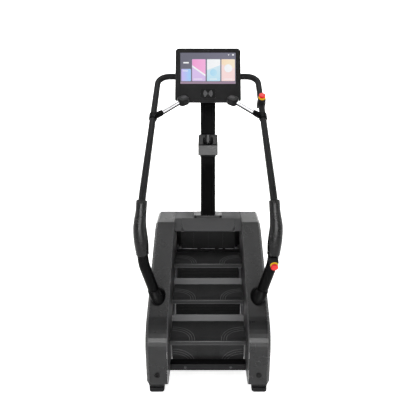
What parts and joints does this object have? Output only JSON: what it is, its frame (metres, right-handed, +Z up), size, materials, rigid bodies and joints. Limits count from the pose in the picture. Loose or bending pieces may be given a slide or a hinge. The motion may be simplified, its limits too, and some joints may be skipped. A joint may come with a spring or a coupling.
{
  "type": "stair climber",
  "caption": "Stair climber with moving steps, moulded housing, bent handrails with grips, pulse bars, cup holder and a touchscreen console on a mast",
  "frame": {"origin": "on the floor, centred between the outermost points in width and length", "axes": "+Z up; +X to the user's right; +Y from the user's end towards the console"},
  "size_m": [0.9388, 1.185, 2.2077],
  "materials": {
    "frame_steel": "matte powder coat, dark",
    "cover_plastic": "moulded charcoal covers, fine grain",
    "deck_plastic": "moulded deck covers",
    "skirt_metal": "painted sheet",
    "mat_rubber": "moulded tread rubber",
    "tread_alu": "cast, brushed",
    "strip_alu": "anodised",
    "riser_plastic": "ribbed black plastic",
    "mast_metal": "black powder coat",
    "rail_metal": "black powder coat",
    "grip_rubber": "soft moulded grip",
    "console_plastic": "moulded console shell",
    "bezel_gloss": "gloss front panel",
    "screen_glass": "display behind glass",
    "reader_plastic": "reader window",
    "contact_chrome": "polished contact strip",
    "key_plastic": "keypad",
    "stop_red": "red push cap",
    "stop_yellow": "yellow ring",
    "stop_black": "switch box",
    "zinc_steel": "zinc plated",
    "chain_steel": "oiled steel",
    "belt_rubber": "ribbed belt",
    "motor_iron": "painted casting",
    "foot_rubber": "foot pad",
    "tyre_rubber": "transport wheel",
    "inlet_plastic": "inlet and switch"
  },
  "bodies": {
    "frame": {"base_frame": "frame_steel", "crossbar_screws": "zinc_steel", "foot_brackets": "frame_steel", "levelling_feet": "foot_rubber", "wheel_brackets": "zinc_steel", "side_cover_left": "cover_plastic", "side_cover_right": "cover_plastic", "front_covers": "cover_plastic", "socket_covers": "cover_plastic", "slope_covers": "cover_plastic", "inner_skirts": "skirt_metal", "front_plugs": "inlet_plastic", "top_deck": "deck_plastic", "deck_insert": "deck_plastic", "mast_collar": "cover_plastic", "rear_cover": "cover_plastic", "power_entry": "inlet_plastic", "handrail_left": "rail_metal", "handrail_right": "rail_metal", "grip_left": "grip_rubber", "grip_right": "grip_rubber", "lower_rail_left": "rail_metal", "lower_rail_right": "rail_metal", "socket_boots": "cover_plastic", "sensor_bars": "rail_metal", "pulse_contacts": "contact_chrome", "handle_pods": "grip_rubber", "top_bar": "rail_metal", "mast": "mast_metal", "console_back": "console_plastic", "console_bezel": "bezel_gloss", "display_screen": "screen_glass", "card_reader": "reader_plastic", "console_mount": "mast_metal", "cup_holder": "cover_plastic", "estop_boxes": "stop_black", "estop_rings": "stop_yellow", "guide_rails": "zinc_steel", "bearings": "zinc_steel", "chains": "chain_steel", "motor": "motor_iron", "drive_belt": "belt_rubber"},
    "step_band": {"tread_plates": "tread_alu", "tread_mats": "mat_rubber", "kick_strips": "strip_alu", "risers": "riser_plastic", "upper_riser": "riser_plastic", "step_carriers": "zinc_steel"},
    "return_step": {"return_tread": "tread_alu", "return_mat": "mat_rubber"},
    "lower_drive": {"lower_shaft": "zinc_steel"},
    "upper_drive": {"upper_shaft": "zinc_steel"},
    "motor_drive": {"motor_pulley": "zinc_steel"},
    "wheel_left": {"transport_wheel_left": "tyre_rubber"},
    "wheel_right": {"transport_wheel_right": "tyre_rubber"},
    "key_left": {"pod_key_left": "key_plastic"},
    "key_right": {"pod_key_right": "key_plastic"},
    "stop_upper": {"estop_button_upper": "stop_red"},
    "stop_lower": {"estop_button_lower": "stop_red"},
    "rocker": {"power_switch": "inlet_plastic"}
  },
  "joints": [
    {"name": "step_travel", "type": "slide", "parent": "frame", "child": "step_band", "axis": [0, 0.8282, 0.5605], "range_m": [0, 0.13]},
    {"name": "return_swing", "type": "hinge", "parent": "frame", "child": "return_step", "pos_m": [0, -0.342, 0.262], "axis": [1, 0, 0], "range_deg": [-8, 4]},
    {"name": "lower_shaft_turn", "type": "hinge", "parent": "frame", "child": "lower_drive", "pos_m": [0, -0.24, 0.215], "axis": [-1, 0, 0], "range_deg": [-5, 130]},
    {"name": "upper_shaft_turn", "type": "hinge", "parent": "frame", "child": "upper_drive", "pos_m": [0, 0.389, 0.641], "axis": [-1, 0, 0], "range_deg": [-5, 130]},
    {"name": "motor_turn", "type": "hinge", "parent": "frame", "child": "motor_drive", "pos_m": [0, 0.26, 0.3], "axis": [-1, 0, 0], "range_deg": [-5, 240]},
    {"name": "wheel_left_turn", "type": "hinge", "parent": "frame", "child": "wheel_left", "pos_m": [-0.262, 0.556, 0.052], "axis": [1, 0, 0], "continuous": true},
    {"name": "wheel_right_turn", "type": "hinge", "parent": "frame", "child": "wheel_right", "pos_m": [0.262, 0.556, 0.052], "axis": [1, 0, 0], "continuous": true},
    {"name": "key_left_push", "type": "slide", "parent": "frame", "child": "key_left", "axis": [0, 0.5, -0.866], "range_m": [0, 0.002], "stiffness_N_per_m": 600},
    {"name": "key_right_push", "type": "slide", "parent": "frame", "child": "key_right", "axis": [0, 0.5, -0.866], "range_m": [0, 0.002], "stiffness_N_per_m": 600},
    {"name": "stop_upper_push", "type": "slide", "parent": "frame", "child": "stop_upper", "axis": [0, 0.6198, -0.7848], "range_m": [0, 0.004], "stiffness_N_per_m": 1500},
    {"name": "stop_lower_push", "type": "slide", "parent": "frame", "child": "stop_lower", "axis": [0, 0.9207, 0.3903], "range_m": [0, 0.004], "stiffness_N_per_m": 1500},
    {"name": "rocker_tip", "type": "hinge", "parent": "frame", "child": "rocker", "pos_m": [0.06, 0.578, 0.148], "axis": [1, 0, 0], "range_deg": [-5, 5]}
  ],
  "couplings": [
    {"joint": "lower_shaft_turn", "follows": "step_travel", "rad_per_m": 16.667},
    {"joint": "upper_shaft_turn", "follows": "step_travel", "rad_per_m": 16.667},
    {"joint": "motor_turn", "follows": "step_travel", "rad_per_m": 29.105}
  ]
}
